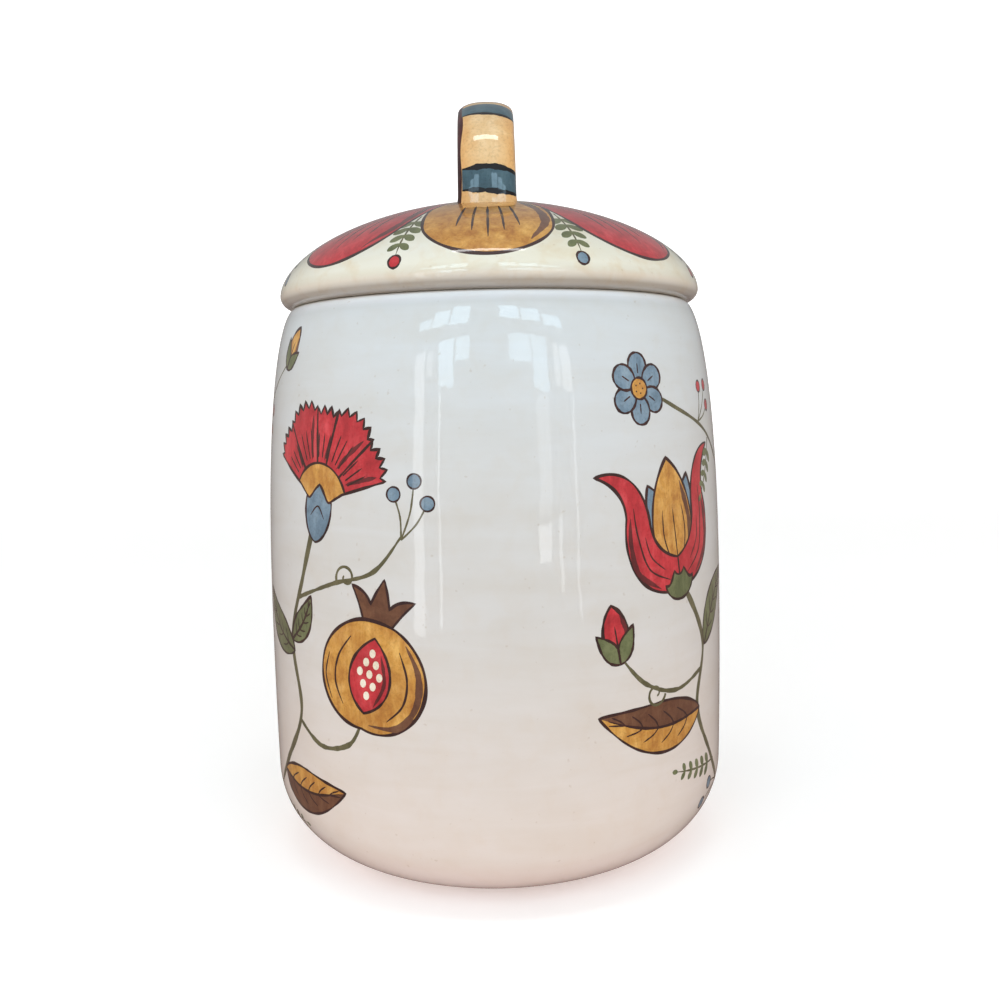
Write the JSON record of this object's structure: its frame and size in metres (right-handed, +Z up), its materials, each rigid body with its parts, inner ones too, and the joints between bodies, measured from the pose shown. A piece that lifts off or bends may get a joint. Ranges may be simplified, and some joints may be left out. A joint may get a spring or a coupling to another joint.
{
  "type": "biscuit jar",
  "caption": "Glazed earthenware biscuit jar: barrel body with a rounded foot, domed lift-off lid with a strap loop handle, and a finned seal ring on the lid's flange",
  "frame": {"origin": "the centre of the foot's underside on the table, on the jar's axis", "axes": "+Z up along the jar's axis of turning, +Y and -Y through the two feet of the lid's handle, +X across the handle's strap"},
  "size_m": [0.178, 0.178, 0.2866],
  "materials": {
    "jar_glaze": "gloss",
    "lid_glaze": "gloss",
    "handle_glaze": "gloss",
    "seal_silicone": "matt"
  },
  "bodies": {
    "jar": {"jar_body": "jar_glaze"},
    "seal": {"seal_ring": "seal_silicone"},
    "lid": {"lid": "lid_glaze", "lid_handle": "handle_glaze"}
  },
  "joints": [
    {"name": "lid_lift", "type": "slide", "parent": "jar", "child": "seal", "axis": [0, 0, 1], "range_m": [0, 0.12]},
    {"name": "lid_turn", "type": "hinge", "parent": "seal", "child": "lid", "pos_m": [0, 0, 0.2087], "axis": [0, 0, 1], "continuous": true}
  ]
}
